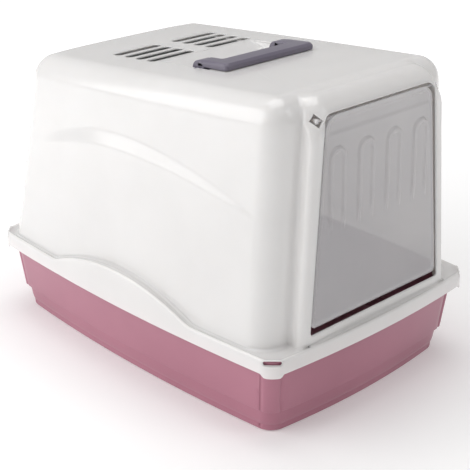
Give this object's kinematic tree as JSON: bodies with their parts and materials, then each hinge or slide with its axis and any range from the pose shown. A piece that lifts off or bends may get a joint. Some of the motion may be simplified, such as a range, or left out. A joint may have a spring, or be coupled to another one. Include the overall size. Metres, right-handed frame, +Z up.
{
  "type": "hooded cat litter box",
  "caption": "Hooded cat litter box: bowed tray, lift-off hood with roof vents and a finger scoop, translucent swing door and a folding bail handle.",
  "frame": {"origin": "on the floor, under the middle of the box", "axes": "+Z up; +Y along the length, from the door towards the back; +X across, so the door faces -Y"},
  "size_m": [0.386, 0.5526, 0.3985],
  "materials": {
    "tray_pink": "moulded polypropylene, soft gloss",
    "hood_white": "moulded polypropylene, glossy",
    "door_smoke": "smoke translucent plastic",
    "handle_grey": "moulded plastic, satin",
    "filter_foam": "carbon-filled foam",
    "grille_white": "moulded plastic, matte"
  },
  "bodies": {
    "tray": {"litter_tray": "tray_pink"},
    "hood": {"hood": "hood_white", "carbon_filter": "filter_foam", "filter_grille": "grille_white"},
    "door": {"door_flap": "door_smoke"},
    "handle": {"carry_handle": "handle_grey"}
  },
  "joints": [
    {"name": "hood_lift", "type": "slide", "parent": "tray", "child": "hood", "axis": [0, 0, 1], "range_m": [0, 0.2]},
    {"name": "door_swing", "type": "hinge", "parent": "hood", "child": "door", "pos_m": [0, -0.252, 0.3745], "axis": [1, 0, 0], "range_deg": [-75, 75]},
    {"name": "handle_fold", "type": "hinge", "parent": "hood", "child": "handle", "pos_m": [0, -0.034, 0.38312], "axis": [-1, 0, 0], "range_deg": [0, 95]}
  ]
}
